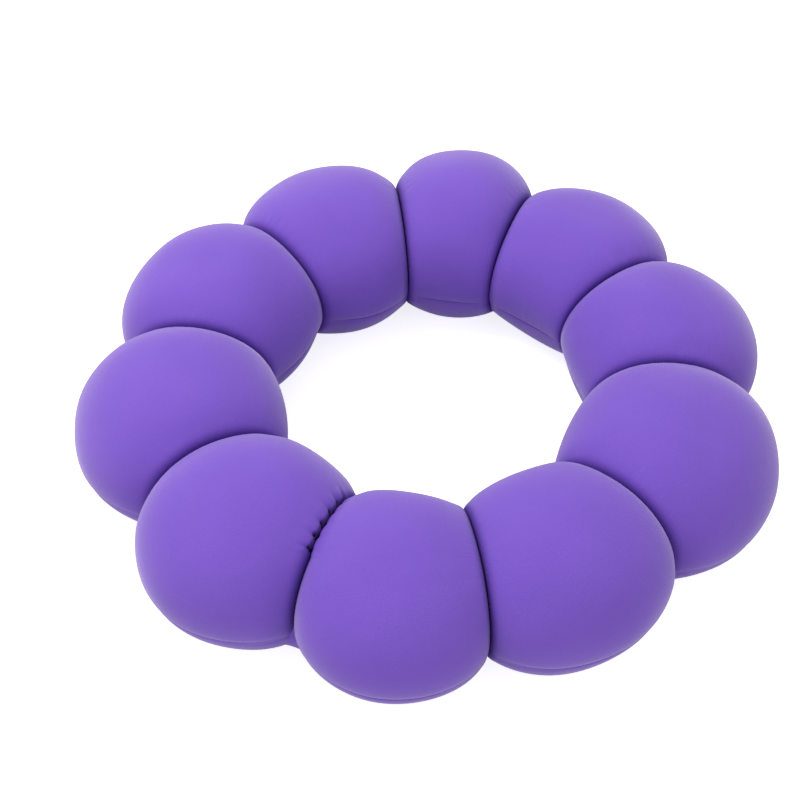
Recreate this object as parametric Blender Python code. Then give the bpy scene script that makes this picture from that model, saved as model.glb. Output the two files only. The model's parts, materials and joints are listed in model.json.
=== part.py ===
"""Stuffed ring seat cushion with ten sewn lobes, modelled in metres with +Z up.

The origin is the centre of the ring, on the plane that the cushion rests on. The Y axis is the fold
line: it runs through two opposite grooves, and the closing seam lies in the groove on the -Y side.
Lobes are numbered counter-clockwise from that seam, so lobes 1 to 5 are the +X half of the ring and
lobes 6 to 10 the -X half.

Each lobe has an upper fabric panel, a lump of fibre filling and a share of the base fabric, and a
fabric divider closes it off from the next lobe. The upper panel slides down over the rim of the base
fabric when the lobe is pressed, and the -X half folds up about the top edge of the two fold grooves.
"""

import math

import bmesh
import bpy
from mathutils import Matrix, Vector

# Ring
RING_RADIUS = 0.153
FIRST_GROOVE = math.radians(-90.0)
LOBE_SPAN_DEG = (33.5, 36.5, 41.0, 34.5, 34.5, 31.0, 36.0, 38.0, 38.5, 36.5)
LOBES = len(LOBE_SPAN_DEG)
HALF = LOBES // 2

# Section through the middle of a lobe: its reach outwards and inwards from the ring radius, and up
# and down from its centre. Below the resting plane the section is pressed flat.
OUTER_REACH = 0.0702
INNER_REACH = 0.0584
HALF_HEIGHT = 0.0534
CENTRE_HEIGHT = 0.0427

# Hand filling makes the lobes differ: each one's fullness outwards, inwards and upwards
OUTER_FULLNESS = (0.99, 0.93, 1.02, 0.97, 0.96, 1.08, 0.95, 0.99, 1.03, 1.04)
INNER_FULLNESS = (0.92, 1.0, 1.03, 0.95, 0.90, 0.95, 1.08, 1.01, 1.02, 1.01)
HEIGHT_FULLNESS = (0.98, 1.0, 1.03, 0.97, 0.95, 1.05, 1.0, 1.0, 1.02, 1.04)

# The same three sizes at a groove, as a share of those at the middle of the lobe
NECK_OUTER = 0.572
NECK_INNER = 0.843
NECK_HEIGHT = 0.756

# Fabric, seams and clearances
FABRIC = 0.0015
SEAM_HEIGHT = 0.031
SEAM_LAP = 0.0015
PANEL_GAP = 0.0010
BASE_END_GAP = 0.0005
BASE_INSET = 0.0044
DIVIDER_THICKNESS = 0.0012
DIVIDER_INSET = 0.0078
FILLING_INSET = 0.0078
FILLING_GAP = 0.0016
FILLING_FLOOR = 0.0024

# Closing stitches, in the upper inner part of the closing groove
STITCHES = 11
STITCH_FROM = math.radians(68.0)
STITCH_TO = math.radians(150.0)
STITCH_SWING = 0.0009
STITCH_OFFSET = 0.0027
THREAD_RADIUS = 0.00045
THREAD_LIFT = 0.0010
THREAD_STEPS = 6

# Facets
PANEL_STEPS = 8
PANEL_ROUND = 12
BASE_STEPS = 8
FILLING_STEPS = 8
FILLING_ROUND = 14
DIVIDER_ROUND = 24

FABRIC_COLOUR = (0.220, 0.110, 0.590)
DIVIDER_COLOUR = (0.130, 0.070, 0.360)
FILLING_COLOUR = (0.860, 0.850, 0.820)
THREAD_COLOUR = (0.075, 0.040, 0.220)


def clear_scene():
    for item in list(bpy.data.objects):
        bpy.data.objects.remove(item, do_unlink=True)


def make_material(name, colour, roughness):
    material = bpy.data.materials.new(name)
    material.use_nodes = True
    shader = material.node_tree.nodes["Principled BSDF"]
    shader.inputs["Base Color"].default_value = (*colour, 1.0)
    shader.inputs["Roughness"].default_value = roughness
    shader.inputs["Metallic"].default_value = 0.0
    return material


def groove_angle(groove):
    """Angle of a groove about the ring; lobe number n (from 0) lies between grooves n and n + 1."""
    return FIRST_GROOVE + math.radians(sum(LOBE_SPAN_DEG[:groove]))


def swell(neck, fullness, u):
    """Size across a lobe as a share of its nominal size: the neck at u = -1 and 1, fullest at u = 0."""
    arch = math.sqrt(1.0 - (1.0 - neck * neck) * u * u)
    return neck + (fullness - neck) * (arch - neck) / (1.0 - neck)


def section(lobe, u, inset):
    """Outward reach, inward reach and half height of a lobe at u, less the inset."""
    outer = OUTER_REACH * swell(NECK_OUTER, OUTER_FULLNESS[lobe], u) - inset
    inner = INNER_REACH * swell(NECK_INNER, INNER_FULLNESS[lobe], u) - inset
    height = HALF_HEIGHT * swell(NECK_HEIGHT, HEIGHT_FULLNESS[lobe], u) - inset
    return outer, inner, height


def lobe_point(lobe, u, turn, inset=0.0, gaps=(0.0, 0.0), floor=0.0):
    """Point on a lobe: u runs from groove to groove, turn from the outer side over the top.

    The gaps are the distances kept from the planes of the lobe's first and last groove.
    """
    outer, inner, height = section(lobe, u, inset)
    reach = (outer if math.cos(turn) > 0.0 else inner) * math.cos(turn)
    radius = RING_RADIUS + reach
    first = groove_angle(lobe) + math.asin(gaps[0] / radius)
    last = groove_angle(lobe + 1) - math.asin(gaps[1] / radius)
    angle = first + (last - first) * (u + 1.0) / 2.0
    z = max(CENTRE_HEIGHT + height * math.sin(turn), floor)
    return Vector((radius * math.cos(angle), radius * math.sin(angle), z))


def rim_turn(lobe, u, inset, z):
    """Turn, below the outer side's widest level, at which the section reaches the height z."""
    height = section(lobe, u, inset)[2]
    return math.asin((z - CENTRE_HEIGHT) / height)


def add_object(name, bm, material):
    mesh = bpy.data.meshes.new(name)
    bm.to_mesh(mesh)
    bm.free()
    mesh.materials.append(material)
    mesh.shade_smooth()
    item = bpy.data.objects.new(name, mesh)
    bpy.context.collection.objects.link(item)
    return item


def thicken_inwards(item):
    """Gives a fabric sheet its thickness on its inner side."""
    solidify = item.modifiers.new("fabric", "SOLIDIFY")
    solidify.thickness = FABRIC
    solidify.offset = -1.0


def fabric_sheet(name, columns, material):
    """Sheet of quads through columns of points, turned into fabric of one thickness."""
    bm = bmesh.new()
    sheet = [[bm.verts.new(point) for point in column] for column in columns]
    for left, right in zip(sheet, sheet[1:]):
        for i in range(len(left) - 1):
            bm.faces.new((left[i], right[i], right[i + 1], left[i + 1]))
    item = add_object(name, bm, material)
    thicken_inwards(item)
    return item


def spread(first, last, steps):
    return [first + (last - first) * i / steps for i in range(steps + 1)]


def make_upper_panel(lobe, material):
    """Domed fabric of one lobe, open below and towards both dividers."""
    columns = []
    for u in spread(-1.0, 1.0, PANEL_STEPS):
        rim = rim_turn(lobe, u, 0.0, SEAM_HEIGHT - SEAM_LAP)
        turns = spread(rim, math.pi - rim, PANEL_ROUND)
        columns.append([lobe_point(lobe, u, turn, gaps=(PANEL_GAP, PANEL_GAP)) for turn in turns])
    return fabric_sheet(f"upper_panel_{lobe + 1:02d}", columns, material)


def base_turns(lobe, u):
    """Turns round the dish of the base fabric, with a row where the section meets the resting plane."""
    rim = rim_turn(lobe, u, BASE_INSET, SEAM_HEIGHT)
    touch = -math.asin(CENTRE_HEIGHT / HALF_HEIGHT)
    below = -math.pi / 2.0
    half = [rim, (rim + touch) / 2.0, touch, (touch + below) / 2.0, below]
    return [-math.pi - turn for turn in half[:-1]] + half[::-1]


def make_base_panel(name, lobes, material):
    """Base fabric under one half of the ring: a scalloped dish, cut on the fold line."""
    columns = []
    for lobe in lobes:
        gaps = (
            BASE_END_GAP if lobe == lobes[0] else 0.0,
            BASE_END_GAP if lobe == lobes[-1] else 0.0,
        )
        steps = spread(-1.0, 1.0, BASE_STEPS)
        for u in steps if lobe == lobes[0] else steps[1:]:
            turns = base_turns(lobe, u)
            columns.append([lobe_point(lobe, u, turn, BASE_INSET, gaps) for turn in turns])
    return fabric_sheet(name, columns, material)


def make_filling(lobe, material):
    """Lump of fibre that fills a lobe, clear of the fabric round it."""
    bm = bmesh.new()
    rings = []
    for u in spread(-1.0, 1.0, FILLING_STEPS):
        turns = spread(0.0, 2.0 * math.pi, FILLING_ROUND)[:-1]
        gaps = (FILLING_GAP, FILLING_GAP)
        points = [lobe_point(lobe, u, turn, FILLING_INSET, gaps, FILLING_FLOOR) for turn in turns]
        rings.append([bm.verts.new(point) for point in points])
    for left, right in zip(rings, rings[1:]):
        for i in range(FILLING_ROUND):
            j = (i + 1) % FILLING_ROUND
            bm.faces.new((left[i], right[i], right[j], left[j]))
    bm.faces.new(rings[0])
    bm.faces.new(rings[-1][::-1])
    return add_object(f"filling_{lobe + 1:02d}", bm, material)


def make_divider(groove, material):
    """Flat fabric wall across the neck at a groove."""
    bm = bmesh.new()
    outline = []
    for turn in spread(0.0, 2.0 * math.pi, DIVIDER_ROUND)[:-1]:
        outer, inner, height = section(groove % LOBES, -1.0, DIVIDER_INSET)
        reach = (outer if math.cos(turn) > 0.0 else inner) * math.cos(turn)
        z = CENTRE_HEIGHT + height * math.sin(turn)
        outline.append(bm.verts.new((RING_RADIUS + reach, DIVIDER_THICKNESS / 2.0, z)))
    face = bm.faces.new(outline[::-1])
    wall = bmesh.ops.extrude_face_region(bm, geom=[face])
    moved = [part for part in wall["geom"] if isinstance(part, bmesh.types.BMVert)]
    bmesh.ops.translate(bm, verts=moved, vec=(0.0, -DIVIDER_THICKNESS, 0.0))
    bmesh.ops.recalc_face_normals(bm, faces=bm.faces)
    bmesh.ops.rotate(bm, verts=bm.verts, cent=(0.0, 0.0, 0.0), matrix=turn_about_z(groove))
    return add_object(f"divider_{groove + 1:02d}", bm, material)


def turn_about_z(groove):
    return Matrix.Rotation(groove_angle(groove), 3, "Z")


def make_closing_thread(material):
    """Gathering stitches that close the last lobe, lying on its fabric beside the closing groove."""
    lobe = LOBES - 1
    curve = bpy.data.curves.new("closing_thread", "CURVE")
    curve.dimensions = "3D"
    curve.bevel_depth = THREAD_RADIUS
    curve.bevel_resolution = 0
    curve.use_fill_caps = True
    spline = curve.splines.new("POLY")
    turns = spread(STITCH_FROM, STITCH_TO, STITCHES * THREAD_STEPS)
    spline.points.add(len(turns) - 1)
    for i, turn in enumerate(turns):
        phase = 2.0 * math.pi * i / THREAD_STEPS
        gap = STITCH_OFFSET + STITCH_SWING * math.sin(phase)
        point = lobe_point(lobe, 1.0, turn, -THREAD_LIFT - gap, (PANEL_GAP, gap))
        spline.points[i].co = (*point, 1.0)
    curve.materials.append(material)
    item = bpy.data.objects.new("closing_thread", curve)
    bpy.context.collection.objects.link(item)
    return item


def build():
    clear_scene()
    fabric = make_material("cushion_fabric", FABRIC_COLOUR, 0.9)
    lining = make_material("divider_fabric", DIVIDER_COLOUR, 0.95)
    fibre = make_material("fibre_filling", FILLING_COLOUR, 1.0)
    thread = make_material("sewing_thread", THREAD_COLOUR, 0.7)
    for lobe in range(LOBES):
        make_upper_panel(lobe, fabric)
        make_filling(lobe, fibre)
        make_divider(lobe, lining)
    make_base_panel("base_panel_right", range(HALF), fabric)
    make_base_panel("base_panel_left", range(HALF, LOBES), fabric)
    make_closing_thread(thread)


build()
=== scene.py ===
"""Looks of the lobed ring seat cushion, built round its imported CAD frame.

Lobes and grooves are counted from 0 here, and from 1 in the names of nodes and pieces. Lobe n lies
between groove n and groove n + 1, and the divider of the same number stands in groove n. Groove 0 is the
one that is closed by hand. Turn is the angle round a lobe's section: 0 on the outer side, 90 degrees on
top, 180 on the inner side. Drop is how far a point lies inside the plump outline.
"""

import json
import math
from collections import namedtuple

import bmesh
import bpy
import numpy as np
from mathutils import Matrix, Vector, noise

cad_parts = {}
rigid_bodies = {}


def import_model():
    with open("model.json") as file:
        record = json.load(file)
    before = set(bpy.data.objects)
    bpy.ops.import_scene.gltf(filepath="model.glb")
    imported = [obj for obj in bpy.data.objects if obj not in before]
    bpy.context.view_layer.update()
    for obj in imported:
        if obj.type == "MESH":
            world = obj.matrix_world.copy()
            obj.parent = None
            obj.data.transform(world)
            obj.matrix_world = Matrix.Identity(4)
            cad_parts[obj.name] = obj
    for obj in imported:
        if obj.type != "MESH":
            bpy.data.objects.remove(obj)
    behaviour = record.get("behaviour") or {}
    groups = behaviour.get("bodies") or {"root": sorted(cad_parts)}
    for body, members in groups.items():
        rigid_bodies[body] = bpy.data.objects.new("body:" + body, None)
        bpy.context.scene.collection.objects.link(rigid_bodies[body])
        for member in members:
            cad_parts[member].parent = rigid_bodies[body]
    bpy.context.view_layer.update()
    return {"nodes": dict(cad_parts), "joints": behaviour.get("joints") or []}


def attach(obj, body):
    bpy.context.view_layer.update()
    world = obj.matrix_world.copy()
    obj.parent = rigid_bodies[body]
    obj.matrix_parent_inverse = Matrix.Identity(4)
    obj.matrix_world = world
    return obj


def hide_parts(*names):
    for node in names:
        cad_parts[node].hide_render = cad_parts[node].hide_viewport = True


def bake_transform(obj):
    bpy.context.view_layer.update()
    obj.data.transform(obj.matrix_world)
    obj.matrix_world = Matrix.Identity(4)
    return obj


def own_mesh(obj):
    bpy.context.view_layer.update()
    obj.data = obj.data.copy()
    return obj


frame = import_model()

# Ring and lobe section, as the CAD has them. At a groove the section shrinks to the given shares.
RING_RADIUS = 0.153
CENTRE_HEIGHT = 0.0427
SEAM_HEIGHT = 0.031
OUTER_REACH = 0.0702
INNER_REACH = 0.0584
HALF_HEIGHT = 0.0534
OUTER_SHARE = 0.572
INNER_SHARE = 0.843
HEIGHT_SHARE = 0.756
NECK_OUTER = OUTER_SHARE * OUTER_REACH
NECK_INNER = INNER_SHARE * INNER_REACH
NECK_HEIGHT = HEIGHT_SHARE * HALF_HEIGHT
LOBES = sum(name.startswith("upper_panel_") for name in frame["nodes"])
HALF = LOBES // 2
FIRST_GROOVE_ANGLE = -math.pi / 2.0

# Grooves: the fabric rolls over a lip into each groove and is tucked in along the groove's plane, a gap
# away from it. The tucks are deepest on top, where a pressed lobe slides down past its neighbour.
LIP_OUTER = 0.0035
LIP_TOP = 0.0075
LIP_INNER = 0.0016
LIP_UNDER = 0.0020
TUCK = 0.005
TUCK_TOP = 0.020
GROOVE_GAP = 0.00035
LIP_ROWS = 6
TUCK_ROWS = 4
MIDDLE_ROWS = 18
# How far from a groove shade is painted into the fabric's colour
PAINTED_SHADE_REACH = 0.0026

# Perimeter seam between the upper panels and the base fabric
SEAM_PINCH = 0.0006
SEAM_WIDTH = 0.0020
# How dark a line of shade is painted along the seam's pinch
SEAM_PAINTED_SHADE = 0.12
HEM_EDGE = 0.0006
HEM = 0.0030
UPPER_COLUMNS = 60
BASE_COLUMNS = 44
FABRIC = 0.0010

# Swelling of the covers under their filling, by cloth simulation held at the grooves and the seam. A cover
# starts flatter than its lobe, its cloth is longer by the slack, and no point moves past the limit.
SWELL_START = 0.0030
SWELL_STEPS = 20
SWELL_PRESSURE = 2000.0
SWELL_SLACK = 0.009
SWELL_LIMIT = 0.0030
SWELL_HELD_ROWS = TUCK_ROWS + 3
SWELL_HELD_COLUMNS = 2

# Unevenness of hand filling. It and the swelling fade out towards a groove.
LUMP_SIZE = 0.045
LUMP_DEPTH = 0.0015
GROOVE_CLEAR = 0.008

# Hand-closed stretch of the closing groove: a pit at each stitch, with pleats running out from it. The
# stitches run in the last lobe's fabric and pull only a little on the first lobe's.
GATHER_FROM = math.radians(70.0)
GATHER_TO = math.radians(130.0)
GATHER_FADE = math.radians(6.0)
GATHER_MARGIN = 0.12
GATHER_STITCHES = 5
GATHER_COLUMNS = 84
GATHER_FIRST_LOBE = 0.2
GATHER_SHALLOW = 0.70
GATHER_PIT = 0.0032
GATHER_PIT_REACH = 0.0023
# How dark shade is painted into the pits that the stitches draw
PIT_PAINTED_SHADE = 0.90
GATHER_PLEAT = 0.00018
GATHER_REACH = 0.0035
THREAD_RADIUS = 0.00028
THREAD_FROM_GROOVE = 0.0007
THREAD_POINTS = 8 * GATHER_STITCHES
WELD_DISTANCE = 0.00001

# How far a crown can be pressed, and how the fold bands follow a pressed crown: not at all at the low
# level, fully at the lobe's top
PRESS = max(joint["range_m"][1] for joint in frame["joints"] if joint["name"].startswith("press_"))
PRESS_LOW = SEAM_HEIGHT + 0.004

# Bands of fabric low in the two fold grooves
BAND_DROP = 0.0005
BAND_HALF_WIDTH = 0.0003
BAND_FLANGE = 0.0060
BAND_FABRIC = 0.00025
BAND_ROWS = 10
BAND_COLUMNS = 96

# Web at the foot of the closing groove: widest and furthest out halfway down, its edges inside the lobes
WEB_TURN_TOP = math.radians(-2.0)
WEB_TURN_FOOT = math.radians(-78.0)
WEB_EDGE_DROP = 0.0025
WEB_STAND = 0.0110
WEB_SAG = 0.0012
WEB_HALF_WIDTH = 0.0090
WEB_END_HALF_WIDTH = 0.0020
WEB_ROWS = 14
WEB_COLUMNS = 12

# Fabric walls across the necks: rings of points from the tucks inwards
DIVIDER_FABRIC = 0.0005
DIVIDER_CLEAR = 0.0005
DIVIDER_COLUMNS = 64
DIVIDER_RINGS = (0.0, 0.12, 0.4, 0.7)

# Lumps of fibre inside the lobes, drawn in towards their ends, with a fluffy surface
FIBRE_DROP = 0.0125
FIBRE_END_DROP = 0.020
FIBRE_SPAN = 0.47
FIBRE_FLOOR = 0.0035
FIBRE_STEPS = 14
FIBRE_COLUMNS = 40
FIBRE_SHRINK = 0.97
FLUFF = 0.04
FLUFF_SIZE = 0.012

# Knit: ribs of stitches that sway once a row, their nap, how much each pattern lightens the colour, and how
# much painted shade darkens it in the creases
VIOLET = (0.225, 0.112, 0.60)
# Dark end of the knit's colour, towards which its patterns and the shade painted into its creases take it
VIOLET_SHADE = (0.085, 0.032, 0.30)
KNIT_RIB = 0.0012
KNIT_ROW = 0.0016
KNIT_SWAY = 1.2
KNIT_DEPTH = 0.0003
STITCH_RELIEF = 0.4
NAP_SCALE = 900.0
MOTTLE_SCALE = 22.0
PLAIN_TONE = 0.33
MOTTLE_TONE = 0.22
NAP_TONE = 0.12
STITCH_TONE = 0.025
PAINTED_SHADE_DARKENING = 0.55
SHEEN = 0.55

# Floor and light: the floor glows to the camera, and a little on what rests within the contact reach
FLOOR_SIZE = 6.0
FLOOR_LEVEL = -0.0006
FLOOR_GREY = 0.70
FLOOR_GLOW = 0.76
CONTACT_GLOW = 0.45
CONTACT_REACH = 0.004
WORLD_LIGHT = 0.86

CAMERA_AZIMUTH = math.radians(24.0)
CAMERA_ELEVATION = math.radians(47.0)
CAMERA_DISTANCE = 0.9856
CAMERA_AIM = Vector((-0.0311, 0.0239, 0.0))
CAMERA_LENS = 65.1

Lobe = namedtuple("Lobe", "number first last outer inner height body crown")


def node_points(name):
    return np.array([v.co for v in frame["nodes"][name].data.vertices], float)


def groove_angle(groove):
    """Angle of a groove, from the divider that stands in it, counted on from the first groove."""
    middle = node_points(f"divider_{groove % LOBES + 1:02d}").mean(axis=0)
    # The slack keeps the first groove from being counted as a whole turn on.
    slack = 0.01
    turned = (math.atan2(middle[1], middle[0]) - FIRST_GROOVE_ANGLE + slack) % (2.0 * math.pi) - slack
    return FIRST_GROOVE_ANGLE + turned + 2.0 * math.pi * (groove // LOBES)


def read_lobes():
    """The lobes' sizes and places, from their upper panels and dividers in the frame."""
    parents = {joint["child"]: joint["parent"] for joint in frame["joints"]}
    lobes = []
    for number in range(LOBES):
        points = node_points(f"upper_panel_{number + 1:02d}")
        radii = np.hypot(points[:, 0], points[:, 1])
        crown = f"crown_{number + 1:02d}"
        lobe = Lobe(
            number=number,
            first=groove_angle(number),
            last=groove_angle(number + 1),
            outer=radii.max() - RING_RADIUS,
            inner=RING_RADIUS - radii.min(),
            height=points[:, 2].max() - CENTRE_HEIGHT,
            body=parents[crown],
            crown=crown,
        )
        lobes.append(lobe)
    return lobes


# Shape of the ring


def closes(lobe):
    """Whether the lobe's first groove, and its last one, is the hand-closed one."""
    return lobe.number == 0, lobe.number == LOBES - 1


def swell(middle, neck, share, u):
    """Size across a lobe: neck at u = -1 and 1, and middle at u = 0."""
    arch = np.sqrt(1.0 - (1.0 - share * share) * u * u)
    return neck + (middle - neck) * (arch - share) / (1.0 - share)


def gather_window(turn):
    """1 along the hand-closed stretch, fading to 0 just beyond its ends."""
    rise = np.clip((turn - GATHER_FROM) / GATHER_FADE + 1.0, 0.0, 1.0)
    fall = np.clip((GATHER_TO - turn) / GATHER_FADE + 1.0, 0.0, 1.0)
    return rise * fall


def lip_radius(turn, closing=False):
    """Radius of the roll into a groove, which differs between the outer side, top, inner side and under."""
    side = np.where(np.cos(turn) > 0.0, LIP_OUTER, LIP_INNER) * np.cos(turn) ** 2
    level = np.where(np.sin(turn) > 0.0, LIP_TOP, LIP_UNDER) * np.sin(turn) ** 2
    shallow = GATHER_SHALLOW * gather_window(turn) if closing else 0.0
    return (side + level) * (1.0 - shallow)


def lip_drop(share):
    """Drop, in lip radii, at a share of the lip's width from the groove."""
    return 1.0 - math.sqrt(share * (2.0 - share))


def tuck_depth(turn):
    return TUCK + TUCK_TOP * np.maximum(np.sin(turn), 0.0) ** 2


def neck_radius(turn):
    """Distance from the ring's axis of the outline at a groove."""
    reach = np.where(np.cos(turn) > 0.0, NECK_OUTER, NECK_INNER) * np.cos(turn)
    return RING_RADIUS + reach


def ring_points(angle, turn, outer, inner, height):
    """Points of a section of the given reach outwards, inwards and upwards, flat where it rests."""
    radius = RING_RADIUS + np.where(np.cos(turn) > 0.0, outer, inner) * np.cos(turn)
    z = np.maximum(CENTRE_HEIGHT + height * np.sin(turn), 0.0)
    return np.stack([radius * np.cos(angle), radius * np.sin(angle), z], axis=-1)


def lobe_points(lobe, angle, turn, drop):
    """Points of a lobe at arrays of angle about the ring, turn and drop."""
    u = np.clip(2.0 * (angle - lobe.first) / (lobe.last - lobe.first) - 1.0, -1.0, 1.0)
    outer = swell(lobe.outer, NECK_OUTER, OUTER_SHARE, u) - drop
    inner = swell(lobe.inner, NECK_INNER, INNER_SHARE, u) - drop
    height = swell(lobe.height, NECK_HEIGHT, HEIGHT_SHARE, u) - drop
    return ring_points(angle, turn, outer, inner, height)


def neck_points(groove, turn, drop, aside):
    """Points round the neck at a groove, moved aside from the groove's plane."""
    angle = groove_angle(groove)
    points = ring_points(angle, turn, NECK_OUTER - drop, NECK_INNER - drop, NECK_HEIGHT - drop)
    return points + aside * np.array([-math.sin(angle), math.cos(angle), 0.0])


def edge_rows(tucked):
    """(share of the lip's width, share of the tuck's depth) of the rows from a groove outwards."""
    tuck = [(0.0, 1.0 - k / TUCK_ROWS) for k in range(TUCK_ROWS)] if tucked else []
    return tuck + [(1.0 - math.cos(math.pi / 2.0 * k / LIP_ROWS), 0.0) for k in range(LIP_ROWS)]


def lobe_grid(lobe, turns, tucked=(True, True)):
    """Grid of points over a lobe: rows run from its first groove to its last, columns along the turns."""
    around = neck_radius(turns)
    sides, lip_ends = [], []
    for groove, sign, is_tucked, closing in zip((lobe.first, lobe.last), (1.0, -1.0), tucked, closes(lobe)):
        lips = lip_radius(turns, closing)
        gap = GROOVE_GAP if is_tucked else 0.0
        side = []
        for share, tuck in edge_rows(is_tucked):
            angle = groove + sign * (gap + share * lips) / around
            side.append((angle, lip_drop(share) * lips + tuck * tuck_depth(turns)))
        sides.append(side)
        lip_ends.append(groove + sign * (gap + lips) / around)
    first, last = lip_ends
    middle = [(first + (last - first) * k / MIDDLE_ROWS, 0.0 * turns) for k in range(MIDDLE_ROWS + 1)]
    rows = sides[0] + middle + sides[1][::-1]
    return np.stack([lobe_points(lobe, angle, turns, drop) for angle, drop in rows])


def seam_turn(lobe):
    """Turn below the outer side's widest level at which the middle of the lobe meets the seam."""
    return math.asin((SEAM_HEIGHT - CENTRE_HEIGHT) / lobe.height)


def groove_distance(grid, grooves):
    """Distance of each point from the nearest of the groove planes at the given angles."""
    away = [np.abs(grid[..., 1] * math.cos(g) - grid[..., 0] * math.sin(g)) for g in grooves]
    return np.minimum.reduce(away)


def groove_fade(grid, grooves):
    """0 in a groove, rising to 1 where the fabric is clear of it."""
    return np.clip(groove_distance(grid, grooves) / GROOVE_CLEAR, 0.0, 1.0)


# Seams, stitches and the unevenness of filling


def seam_drop(z):
    return SEAM_PINCH * np.exp(-(((z - SEAM_HEIGHT) / SEAM_WIDTH) ** 2))


def painted_crease_shade(grid, grooves):
    """Painted shade: 1 in a groove, falling to 0 a few millimetres away from it, with a faint line of
    painted shade along the seam.
    """
    groove = np.exp(-((groove_distance(grid, grooves) / PAINTED_SHADE_REACH) ** 2))
    return np.maximum(groove, SEAM_PAINTED_SHADE * seam_drop(grid[..., 2]) / SEAM_PINCH)


def stitch_wave(turn):
    """1 at each closing stitch and -1 halfway between two."""
    along = (turn - GATHER_FROM) / (GATHER_TO - GATHER_FROM)
    return np.cos(2.0 * math.pi * GATHER_STITCHES * along)


def pit_depth(turn, distance):
    """Depth of the pits that the closing stitches draw, at a distance from the groove."""
    pit = GATHER_PIT * ((1.0 + stitch_wave(turn)) / 2.0) ** 3
    return pit * np.exp(-((distance / GATHER_PIT_REACH) ** 2))


def gather_depth(lobe, grid, turns):
    """How far the closing stitches draw the fabric in, as pits with pleats, and how deep the pits are."""
    if not any(closes(lobe)):
        return np.zeros(grid.shape[:2]), np.zeros(grid.shape[:2])
    groove, strength = (lobe.first, GATHER_FIRST_LOBE) if lobe.number == 0 else (lobe.last, 1.0)
    strength = strength * gather_window(turns)
    distance = groove_distance(grid, [groove])
    pit = strength * pit_depth(turns, distance)
    pleat = strength * GATHER_PLEAT * stitch_wave(turns) * np.exp(-distance / GATHER_REACH)
    pleat *= np.clip(distance / THREAD_FROM_GROOVE - 1.0, 0.0, 1.0)
    return pit + pleat, pit


def grid_normals(grid):
    along = np.gradient(grid, axis=0)
    across = np.gradient(grid, axis=1)
    normal = np.cross(along, across)
    return normal / np.maximum(np.linalg.norm(normal, axis=2, keepdims=True), 1e-12)


def lumps(grid, grooves):
    """Gentle unevenness of a hand-filled lobe, in metres along the normal, that spares its grooves."""
    values = np.array([[noise.noise(Vector(p) / LUMP_SIZE) for p in row] for row in grid])
    return LUMP_DEPTH * values * groove_fade(grid, grooves)


def shape_fabric(grid, grooves, gather):
    """Pulls the fabric in at the seam and the stitches, and adds the unevenness of hand filling."""
    normal = grid_normals(grid)
    depth = seam_drop(grid[..., 2]) - lumps(grid, grooves) + gather
    shaped = grid - normal * depth[..., None]
    shaped[..., 2] = np.maximum(shaped[..., 2], 0.0)
    return shaped


def add_hems(grid, shade):
    """Columns that turn both long edges of a sheet in at the perimeter seam."""
    normal = grid_normals(grid)
    first = [grid[:, :1] - normal[:, :1] * deep for deep in (HEM, HEM_EDGE)]
    last = [grid[:, -1:] - normal[:, -1:] * deep for deep in (HEM_EDGE, HEM)]
    wide = np.concatenate([*first, grid, *last], axis=1)
    return wide, np.pad(shade, ((0, 0), (2, 2)), mode="edge")


# Meshes


def link(name, data):
    item = bpy.data.objects.new(name, data)
    bpy.context.collection.objects.link(item)
    return item


def finished_mesh(name, bm, material):
    """Smooth mesh from a bmesh, which is freed."""
    mesh = bpy.data.meshes.new(name)
    bm.to_mesh(mesh)
    bm.free()
    mesh.materials.append(material)
    mesh.shade_smooth()
    return mesh


def sheet(name, grid, shade, material, closed=False):
    """Mesh object from a grid of points, with a UV map in metres and the shade painted into the fabric as a
    point attribute.

    A closed sheet's last column is its first one again.
    """
    rows, columns = grid.shape[:2]
    bm = bmesh.new()
    uv_layer = bm.loops.layers.uv.new("UVMap")
    painted_shade_layer = bm.verts.layers.float.new("painted_shade")
    along = np.cumsum(np.linalg.norm(np.diff(grid, axis=0, prepend=grid[:1]), axis=2), axis=0)
    across = np.cumsum(np.linalg.norm(np.diff(grid, axis=1, prepend=grid[:, :1]), axis=2), axis=1)
    along -= along[rows // 2]
    across -= across[:, columns // 2, None]
    round_trip = columns - 1 if closed else columns
    points = [[bm.verts.new(grid[i, j]) for j in range(round_trip)] for i in range(rows)]
    for i in range(rows):
        for j in range(round_trip):
            points[i][j][painted_shade_layer] = shade[i, j]
    for i in range(rows - 1):
        for j in range(columns - 1):
            corners = ((i, j), (i + 1, j), (i + 1, j + 1), (i, j + 1))
            face = bm.faces.new([points[a][b % round_trip] for a, b in corners])
            for loop, (a, b) in zip(face.loops, corners):
                loop[uv_layer].uv = (along[a, b], across[a, b])
    return link(name, finished_mesh(name, bm, material))


def bridge_rings(bm, rings):
    """Faces between each ring of vertices and the next."""
    for ring, following in zip(rings, rings[1:]):
        for i in range(len(ring)):
            j = (i + 1) % len(ring)
            bm.faces.new((ring[i], following[i], following[j], ring[j]))


def apply_modifiers(item):
    depsgraph = bpy.context.evaluated_depsgraph_get()
    mesh = bpy.data.meshes.new_from_object(item.evaluated_get(depsgraph))
    item.modifiers.clear()
    item.data = mesh
    mesh.shade_smooth()


def weld(mesh):
    """Joins points that lie on each other, such as those where an end cap meets its tube."""
    bm = bmesh.new()
    bm.from_mesh(mesh)
    bmesh.ops.remove_doubles(bm, verts=bm.verts, dist=WELD_DISTANCE)
    bm.to_mesh(mesh)
    bm.free()
    mesh.shade_smooth()


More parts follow.
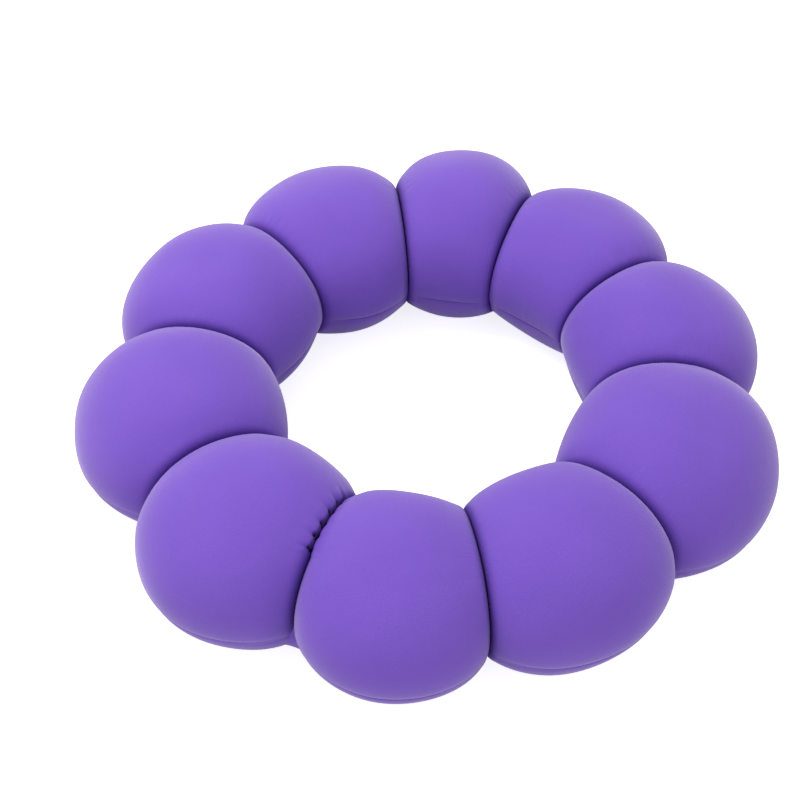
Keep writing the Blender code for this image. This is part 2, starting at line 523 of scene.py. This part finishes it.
def cord(name, places, radius, material):
    """Round cord along a smooth line guided by the places, as a mesh with closed ends."""
    curve = bpy.data.curves.new(name, "CURVE")
    curve.dimensions = "3D"
    curve.bevel_depth = radius
    curve.bevel_resolution = 2
    curve.use_fill_caps = True
    spline = curve.splines.new("NURBS")
    spline.use_endpoint_u = True
    spline.order_u = 4
    spline.points.add(len(places) - 1)
    for point, place in zip(spline.points, places):
        point.co = (*place, 1.0)
    curve.materials.append(material)
    drawn = link(f"drawn_{name}", curve)
    depsgraph = bpy.context.evaluated_depsgraph_get()
    item = link(name, bpy.data.meshes.new_from_object(drawn.evaluated_get(depsgraph)))
    bpy.data.objects.remove(drawn)
    weld(item.data)
    return item


def refine(item, thickness=FABRIC):
    """The fabric's thickness inwards, then one subdivision, both applied."""
    solidify = item.modifiers.new("fabric", "SOLIDIFY")
    solidify.thickness = thickness
    solidify.offset = -1.0
    subdivide = item.modifiers.new("smooth", "SUBSURF")
    subdivide.levels = 1
    subdivide.render_levels = 1
    apply_modifiers(item)


# Pieces


def add_cloth(fabric, rows, columns):
    """Cloth on a sheet of rows and columns of points, under pressure and held along its edges."""
    held = np.ones((rows, columns), bool)
    held[SWELL_HELD_ROWS:-SWELL_HELD_ROWS, SWELL_HELD_COLUMNS:-SWELL_HELD_COLUMNS] = False
    edge = fabric.vertex_groups.new(name="held")
    edge.add(np.flatnonzero(held).tolist(), 1.0, "REPLACE")
    cloth = fabric.modifiers.new("cloth", "CLOTH")
    cloth.settings.vertex_group_mass = edge.name
    cloth.settings.use_pressure = True
    cloth.settings.uniform_pressure_force = SWELL_PRESSURE
    cloth.settings.shrink_min = -SWELL_SLACK
    cloth.settings.effector_weights.gravity = 0.0
    cloth.collision_settings.use_collision = False
    cloth.point_cache.frame_end = SWELL_STEPS


def swollen(lobe, grid, material):
    """The cover's grid after a cloth simulation that presses it outwards, with its edges held."""
    rows, columns = grid.shape[:2]
    fabric = sheet("swelling_cover", grid, np.zeros((rows, columns)), material)
    add_cloth(fabric, rows, columns)
    for step in range(1, SWELL_STEPS + 1):
        bpy.context.scene.frame_set(step)
    depsgraph = bpy.context.evaluated_depsgraph_get()
    mesh = bpy.data.meshes.new_from_object(fabric.evaluated_get(depsgraph))
    move = np.array([v.co for v in mesh.vertices]).reshape(grid.shape) - grid
    bpy.data.objects.remove(fabric)
    bpy.data.meshes.remove(mesh)
    length = np.linalg.norm(move, axis=2, keepdims=True)
    move *= np.minimum(1.0, SWELL_LIMIT / np.maximum(length, 1e-9))
    return grid + move * groove_fade(grid, (lobe.first, lobe.last))[..., None]


def cover_turns(lobe):
    """Turns of a cover's columns: close together at the seams and along the hand-closed stretch."""
    rim = seam_turn(lobe)
    edge = HEM_EDGE / lobe.outer
    turns = np.linspace(rim + edge, math.pi - rim - edge, UPPER_COLUMNS + 1)
    if any(closes(lobe)):
        start = GATHER_FROM - GATHER_MARGIN
        end = GATHER_TO + GATHER_MARGIN
        plain = turns[(turns <= start) | (turns >= end)]
        turns = np.sort(np.concatenate([plain, np.linspace(start, end, GATHER_COLUMNS + 1)]))
    return np.concatenate([[rim], turns, [math.pi - rim]])


def blend_crown(piece):
    """Bakes the piece's placement into its mesh, without tying it to the lobe's half or its crown."""
    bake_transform(piece)


def make_cover(lobe, material):
    """Upper fabric of one lobe: a plump dome whose edges are tucked into the grooves and the seam."""
    turns = cover_turns(lobe)
    grooves = (lobe.first, lobe.last)
    flat = lobe._replace(height=lobe.height - SWELL_START)
    grid = swollen(lobe, lobe_grid(flat, turns), material)
    gather, pit = gather_depth(lobe, grid, turns)
    # Shade painted into the colour: in the grooves, along the seam and in the stitch pits
    shade = np.maximum(painted_crease_shade(grid, grooves), PIT_PAINTED_SHADE * pit / GATHER_PIT)
    grid = shape_fabric(grid, grooves, gather)
    grid, shade = add_hems(grid, shade)
    cover = sheet(f"lobe_cover_{lobe.number + 1:02d}", grid, shade, material)
    refine(cover)
    blend_crown(cover)
    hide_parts(f"upper_panel_{lobe.number + 1:02d}")


def make_base(name, node, lobes, material):
    """Base fabric under one half of the ring, one sheet through its grooves."""
    grids = []
    for lobe in lobes:
        rim = seam_turn(lobe)
        edge = HEM_EDGE / lobe.outer
        turns = np.linspace(-math.pi - rim + edge, rim - edge, BASE_COLUMNS + 1)
        turns = np.concatenate([[-math.pi - rim], turns, [rim]])
        grid = lobe_grid(lobe, turns, (lobe is lobes[0], lobe is lobes[-1]))
        grids.append(grid if lobe is lobes[0] else grid[1:])
    grid = np.concatenate(grids)
    grooves = [lobe.first for lobe in lobes] + [lobes[-1].last]
    # Shade painted into the colour in the grooves and along the seam
    shade = painted_crease_shade(grid, grooves)
    grid = shape_fabric(grid, grooves, 0.0)
    grid, shade = add_hems(grid, shade)
    base = sheet(name, grid, shade, material)
    refine(base)
    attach(base, lobes[0].body)
    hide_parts(node)


def band_section(groove):
    """(side, drop) of a band's rows, side in half widths: an arch between two flanges."""
    turned = [math.pi * k / BAND_ROWS for k in range(BAND_ROWS + 1)]
    arch = [(math.cos(a), BAND_HALF_WIDTH * (1.0 - math.sin(a))) for a in turned]
    section = [(1.0, BAND_FLANGE), *arch, (-1.0, BAND_FLANGE)]
    # At both grooves the rows run from the left half to the right one.
    return section[::-1] if groove == 0 else section


def make_fold_band(name, groove, height, material):
    """Band of fabric round the neck, low in a fold groove, that joins the two halves. It is not tied to
    either half.

    It lies where the groove's bottom comes to when crowns of the given height beside it are pressed.
    """
    turns = np.linspace(0.0, 2.0 * math.pi, BAND_COLUMNS + 1)
    rows = []
    for side, drop in band_section(groove):
        row = neck_points(groove, turns, lip_radius(turns) + BAND_DROP + drop, BAND_HALF_WIDTH * side)
        pressed = (row[:, 2] - PRESS_LOW) / (CENTRE_HEIGHT + height - PRESS_LOW)
        row[:, 2] -= PRESS * np.clip(pressed, 0.0, 1.0)
        rows.append(row)
    grid = np.stack(rows)
    # The whole band is painted in full shade, with no sheen, as it lies low in its groove
    band = sheet(name, grid, np.ones(grid.shape[:2]), material, closed=True)
    refine(band, thickness=BAND_FABRIC)
    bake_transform(band)


def make_web(material):
    """Small web of base fabric that bridges the foot of the closing groove on its outer side."""
    down = np.linspace(0.0, 1.0, WEB_ROWS + 1)
    turns = WEB_TURN_TOP + (WEB_TURN_FOOT - WEB_TURN_TOP) * down
    # How far the web is spread: none at its top, fully halfway down, and less again at its foot
    spread = np.sin(math.pi * np.minimum(down, 0.5)) * (1.0 - 0.5 * np.maximum(down - 0.5, 0.0))
    half_width = WEB_END_HALF_WIDTH + WEB_HALF_WIDTH * spread
    rows = []
    for side in np.linspace(1.0, -1.0, WEB_COLUMNS + 1):
        sag = WEB_SAG * (1.0 - side * side)
        drop = WEB_EDGE_DROP - WEB_STAND * spread + sag
        rows.append(neck_points(0, turns, drop, side * half_width[:, None]))
    grid = np.stack(rows)
    web = sheet("closing_web", grid, np.zeros(grid.shape[:2]), material)
    refine(web)
    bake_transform(web)


def make_divider(groove, body, material):
    """Fabric wall across the neck, its edge caught between the two tucks of its groove."""
    name = f"divider_wall_{groove + 1:02d}"
    turns = np.linspace(0.0, 2.0 * math.pi, DIVIDER_COLUMNS, endpoint=False)
    outline = lip_radius(turns) + tuck_depth(turns) + DIVIDER_CLEAR
    bm = bmesh.new()
    rings = []
    for share in DIVIDER_RINGS:
        drop = outline + share * (NECK_HEIGHT - outline)
        rings.append([bm.verts.new(p) for p in neck_points(groove, turns, drop, 0.0)])
    bridge_rings(bm, rings[::-1])
    bm.faces.new(rings[-1])
    wall = link(name, finished_mesh(name, bm, material))
    solidify = wall.modifiers.new("fabric", "SOLIDIFY")
    solidify.thickness = DIVIDER_FABRIC
    solidify.offset = 0.0
    apply_modifiers(wall)
    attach(wall, body)
    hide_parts(f"divider_{groove + 1:02d}")


def fibre_ring(lobe, turns, share):
    """Points of one ring of a lobe's fibre, at a share of its half length from the lobe's middle."""
    angle = (lobe.first + lobe.last) / 2.0 + share * (lobe.last - lobe.first) * FIBRE_SPAN
    drop = FIBRE_DROP + FIBRE_END_DROP * (1.0 - math.sqrt(max(0.0, 1.0 - share**2)))
    points = lobe_points(lobe, np.full_like(turns, angle), turns, np.full_like(turns, drop))
    points[:, 2] = np.maximum(points[:, 2], FIBRE_FLOOR)
    middle = points.mean(axis=0)
    fluff = np.array([noise.fractal(Vector(p) / FLUFF_SIZE, 1.0, 2.0, 3) for p in points])
    return middle + (points - middle) * (FIBRE_SHRINK + FLUFF * fluff[:, None])


def make_fibre(lobe, material):
    """Lump of loose fibre that fills a lobe."""
    name = f"fibre_{lobe.number + 1:02d}"
    turns = np.linspace(0.0, 2.0 * math.pi, FIBRE_COLUMNS, endpoint=False)
    bm = bmesh.new()
    rings = []
    for k in range(FIBRE_STEPS + 1):
        share = -math.cos(math.pi * k / FIBRE_STEPS)
        rings.append([bm.verts.new(p) for p in fibre_ring(lobe, turns, share)])
    bridge_rings(bm, rings)
    bm.faces.new(rings[0])
    bm.faces.new(rings[-1][::-1])
    lump = link(name, finished_mesh(name, bm, material))
    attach(lump, lobe.body)
    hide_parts(f"filling_{lobe.number + 1:02d}")
    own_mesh(lump)


def make_thread(lobe, material):
    """Running stitch that draws the closing groove together, dipping into the fabric at each pit."""
    turns = np.linspace(GATHER_FROM, GATHER_TO, THREAD_POINTS + 1)
    lips = lip_radius(turns, closing=True)
    share = THREAD_FROM_GROOVE / lips
    angle = lobe.last - (GROOVE_GAP + THREAD_FROM_GROOVE) / neck_radius(turns)
    fabric = np.array([lip_drop(min(s, 1.0)) for s in share]) * lips
    drop = fabric + pit_depth(turns, THREAD_FROM_GROOVE)
    thread = cord("closing_stitches", lobe_points(lobe, angle, turns, drop), THREAD_RADIUS, material)
    blend_crown(thread)
    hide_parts("closing_thread")


# Materials


def fill_inputs(tree, node, values):
    """Gives a node's inputs, by name or number, plain values or links from other nodes' outputs."""
    for name, value in values.items():
        if isinstance(value, bpy.types.NodeSocket):
            tree.links.new(value, node.inputs[name])
        else:
            node.inputs[name].default_value = value


def add_node(tree, kind, values=None, **settings):
    """Shader node of a kind, with its settings made and its inputs filled."""
    node = tree.nodes.new(f"ShaderNode{kind}")
    for name, value in settings.items():
        setattr(node, name, value)
    fill_inputs(tree, node, values or {})
    return node


def add_math(tree, operation, *values):
    """Output of a math node on plain values and other nodes' outputs."""
    return add_node(tree, "Math", dict(enumerate(values)), operation=operation).outputs[0]


def add_noise(tree, where, scale, detail):
    return add_node(tree, "TexNoise", {"Scale": scale, "Detail": detail, "Vector": where}).outputs["Fac"]


def add_bump(tree, height, strength, distance):
    return add_node(tree, "Bump", {"Strength": strength, "Distance": distance, "Height": height}).outputs[0]


def mix_colours(tree, share, shade, colour):
    """Colour from shade, at a share of 0, to colour, at 1."""
    values = {"A": (*shade, 1.0), "B": (*colour, 1.0), "Factor": share}
    return add_node(tree, "Mix", values, data_type="RGBA").outputs["Result"]


def new_material(name):
    material = bpy.data.materials.new(name)
    material.use_nodes = True
    return material, material.node_tree, material.node_tree.nodes["Principled BSDF"]


def knit_stitches(tree, uv):
    """Wave of a knit's stitches, between -1 and 1: ribs that sway once a row."""
    split = add_node(tree, "SeparateXYZ", {0: uv})
    along = add_math(tree, "MULTIPLY", split.outputs["X"], 2.0 * math.pi / KNIT_ROW)
    across = add_math(tree, "MULTIPLY", split.outputs["Y"], 2.0 * math.pi / KNIT_RIB)
    sway = add_math(tree, "MULTIPLY", add_math(tree, "SINE", along), KNIT_SWAY)
    return add_math(tree, "SINE", add_math(tree, "ADD", across, sway))


def knit_tone_and_painted_shade(tree, mottle, nap, stitch, painted_shade):
    """How light the knit is from its patterns, darkened where shade is painted into its creases."""
    tone = add_math(tree, "MULTIPLY", mottle, MOTTLE_TONE)
    tone = add_math(tree, "ADD", tone, add_math(tree, "MULTIPLY", nap, NAP_TONE))
    tone = add_math(tree, "ADD", tone, add_math(tree, "MULTIPLY", stitch, STITCH_TONE))
    tone = add_math(tree, "ADD", tone, PLAIN_TONE)
    return add_math(tree, "SUBTRACT", tone, add_math(tree, "MULTIPLY", painted_shade, PAINTED_SHADE_DARKENING))


def knit_fabric(name, colour, shade):
    """Fine stretch knit: ribs of stitches, soft mottling and a light nap, with shade painted into its
    creases and less sheen there.
    """
    material, tree, shader = new_material(name)
    where = add_node(tree, "TexCoord").outputs
    stitch = knit_stitches(tree, where["UV"])
    nap = add_noise(tree, where["Object"], NAP_SCALE, 3.0)
    mottle = add_noise(tree, where["Object"], MOTTLE_SCALE, 4.0)
    relief = add_math(tree, "ADD", add_math(tree, "MULTIPLY", stitch, STITCH_RELIEF), nap)
    # Shade painted from the mesh: darker in the grooves, along the seam, in the stitch pits and over the
    # fold bands, with less sheen there
    painted_shade = add_node(tree, "Attribute", attribute_name="painted_shade").outputs["Fac"]
    tone = knit_tone_and_painted_shade(tree, mottle, nap, stitch, painted_shade)
    finish = {
        "Base Color": mix_colours(tree, tone, shade, colour),
        "Normal": add_bump(tree, relief, 0.30, KNIT_DEPTH),
        "Roughness": 0.82,
        "Specular IOR Level": 0.2,
        "Sheen Weight": add_math(tree, "MULTIPLY_ADD", painted_shade, -SHEEN, SHEEN),
        "Sheen Roughness": 0.42,
        "Sheen Tint": (0.92, 0.84, 1.0, 1.0),
    }
    fill_inputs(tree, shader, finish)
    return material


def plain_fibre(name, colour, scale, depth):
    """Matt fibrous surface with a noise bump."""
    material, tree, shader = new_material(name)
    grain = add_noise(tree, add_node(tree, "TexCoord").outputs["Object"], scale, 6.0)
    finish = {
        "Base Color": mix_colours(tree, grain, [c * 0.8 for c in colour], colour),
        "Normal": add_bump(tree, grain, 0.6, depth),
        "Roughness": 0.95,
    }
    fill_inputs(tree, shader, finish)
    return material


def floor_material():
    """Pale and matt, a little lit from below like a light table, and clear when seen from below.

    Fabric that rests on it gets a little light too, so that the underside isn't black.
    """
    material, tree, shader = new_material("pale_floor")
    seen = add_node(tree, "LightPath").outputs
    near = add_math(tree, "LESS_THAN", seen["Ray Length"], CONTACT_REACH)
    contact = add_math(tree, "MULTIPLY", near, CONTACT_GLOW)
    finish = {
        "Base Color": (FLOOR_GREY, FLOOR_GREY, FLOOR_GREY, 1.0),
        "Roughness": 0.9,
        "Specular IOR Level": 0.1,
        "Emission Color": (1.0, 1.0, 1.0, 1.0),
        "Emission Strength": add_math(tree, "MULTIPLY_ADD", seen["Is Camera Ray"], FLOOR_GLOW, contact),
    }
    fill_inputs(tree, shader, finish)
    below = add_node(tree, "NewGeometry").outputs["Backfacing"]
    clear = add_node(tree, "BsdfTransparent").outputs[0]
    mix = add_node(tree, "MixShader", {0: below, 1: shader.outputs[0], 2: clear})
    fill_inputs(tree, tree.nodes["Material Output"], {"Surface": mix.outputs[0]})
    return material


# Studio


def make_floor():
    bpy.ops.mesh.primitive_plane_add(size=FLOOR_SIZE, location=(0.0, 0.0, FLOOR_LEVEL))
    floor = bpy.context.object
    floor.name = "floor"
    floor.data.materials.append(floor_material())


def facing(direction):
    """Rotation that points a light or a camera in a direction."""
    return direction.to_track_quat("-Z", "Y").to_euler()


def add_area_light(name, place, target, size, power):
    light = bpy.data.lights.new(name, "AREA")
    light.shape = "DISK"
    light.size = size
    light.energy = power
    item = link(name, light)
    item.location = place
    item.rotation_euler = facing(Vector(target) - Vector(place))


def make_world():
    """White surroundings, pure white to the camera and a little dimmer as a light."""
    world = bpy.data.worlds.new("studio")
    world.use_nodes = True
    tree = world.node_tree
    seen = add_node(tree, "LightPath").outputs["Is Camera Ray"]
    strength = add_node(tree, "MapRange", {"To Min": WORLD_LIGHT, "To Max": 1.0, "Value": seen})
    white = {"Color": (1.0, 1.0, 1.0, 1.0), "Strength": strength.outputs[0]}
    fill_inputs(tree, tree.nodes["Background"], white)
    bpy.context.scene.world = world


def make_lights():
    add_area_light("key", place=(-0.75, 0.10, 1.35), target=(0.0, 0.0, 0.0), size=1.1, power=16.0)
    add_area_light("fill", place=(0.35, -1.10, 0.55), target=(0.0, 0.10, 0.03), size=1.0, power=2.0)


def make_camera():
    level = math.cos(CAMERA_ELEVATION)
    aside = math.sin(CAMERA_AZIMUTH) * level
    ahead = math.cos(CAMERA_AZIMUTH) * level
    back = Vector((aside, -ahead, math.sin(CAMERA_ELEVATION)))
    camera = link("camera", bpy.data.cameras.new("camera"))
    camera.data.lens = CAMERA_LENS
    camera.location = CAMERA_AIM + back * CAMERA_DISTANCE
    camera.rotation_euler = facing(-back)
    bpy.context.scene.camera = camera


def make_cushion():
    fabric = knit_fabric("violet_knit", VIOLET, VIOLET_SHADE)
    fibre = plain_fibre("fibre", (0.86, 0.85, 0.82), scale=260.0, depth=0.0012)
    lining = plain_fibre("lining", (0.09, 0.045, 0.25), scale=900.0, depth=0.0003)
    thread = plain_fibre("thread", (0.03, 0.015, 0.09), scale=1500.0, depth=0.0002)
    lobes = read_lobes()
    for lobe in lobes:
        make_cover(lobe, fabric)
        make_fibre(lobe, fibre)
        make_divider(lobe.number, "right_half" if lobe.number <= HALF else "left_half", lining)
    make_base("base_cover_right", "base_panel_right", lobes[:HALF], fabric)
    make_base("base_cover_left", "base_panel_left", lobes[HALF:], fabric)
    height = min(lobe.height for lobe in lobes)
    make_fold_band("fold_band_front", 0, height, fabric)
    make_fold_band("fold_band_back", HALF, height, fabric)
    make_web(fabric)
    make_thread(lobes[-1], thread)


bpy.context.scene.view_settings.view_transform = "Standard"
make_cushion()
make_floor()
make_world()
make_lights()
make_camera()
